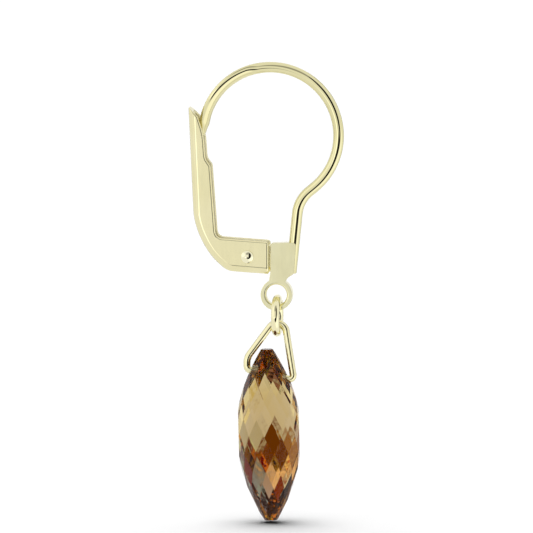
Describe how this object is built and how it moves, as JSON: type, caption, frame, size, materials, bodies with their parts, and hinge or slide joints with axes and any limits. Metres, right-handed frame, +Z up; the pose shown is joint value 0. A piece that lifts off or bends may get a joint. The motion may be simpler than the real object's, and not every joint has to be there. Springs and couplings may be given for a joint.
{
  "type": "quartz earring",
  "caption": "Lever-back drop earring in yellow gold: a round wire ear hook with a folded channel lever, and a faceted smoky quartz briolette on a jump ring and a triangular wire bail.",
  "frame": {"origin": "underside of the ear wire at the top of its bend, where it rests in the ear lobe", "axes": "+Z up, +X to the right in the front view, towards the front plate's wire, +Y to the back of the front view; the wire lies in the XZ plane"},
  "size_m": [0.0119, 0.005, 0.0353],
  "materials": {
    "gold": "polished pale yellow gold",
    "quartz": "faceted smoky quartz, polished"
  },
  "bodies": {
    "hook": {"ear_hook": "gold"},
    "lever": {"lever": "gold", "rivet": "gold"},
    "jump_ring": {"jump_ring": "gold"},
    "bail": {"bail": "gold"},
    "stone": {"stone": "quartz"}
  },
  "joints": [
    {"name": "lever_hinge", "type": "hinge", "parent": "hook", "child": "lever", "pos_m": [-0.00174, 0, -0.01411], "axis": [0, -1, 0], "range_deg": [0, 70]},
    {"name": "ring_swing", "type": "hinge", "parent": "hook", "child": "jump_ring", "pos_m": [0.00048, 0, -0.01808], "axis": [1, 0, 0], "range_deg": [-25, 25]},
    {"name": "bail_swing", "type": "hinge", "parent": "jump_ring", "child": "bail", "pos_m": [0.00048, 0, -0.01999], "axis": [0, 1, 0], "range_deg": [-45, 45]},
    {"name": "stone_swing", "type": "hinge", "parent": "bail", "child": "stone", "pos_m": [-0.00006, 0, -0.02327], "axis": [0.9778, 0, -0.2096], "range_deg": [-35, 35]}
  ]
}
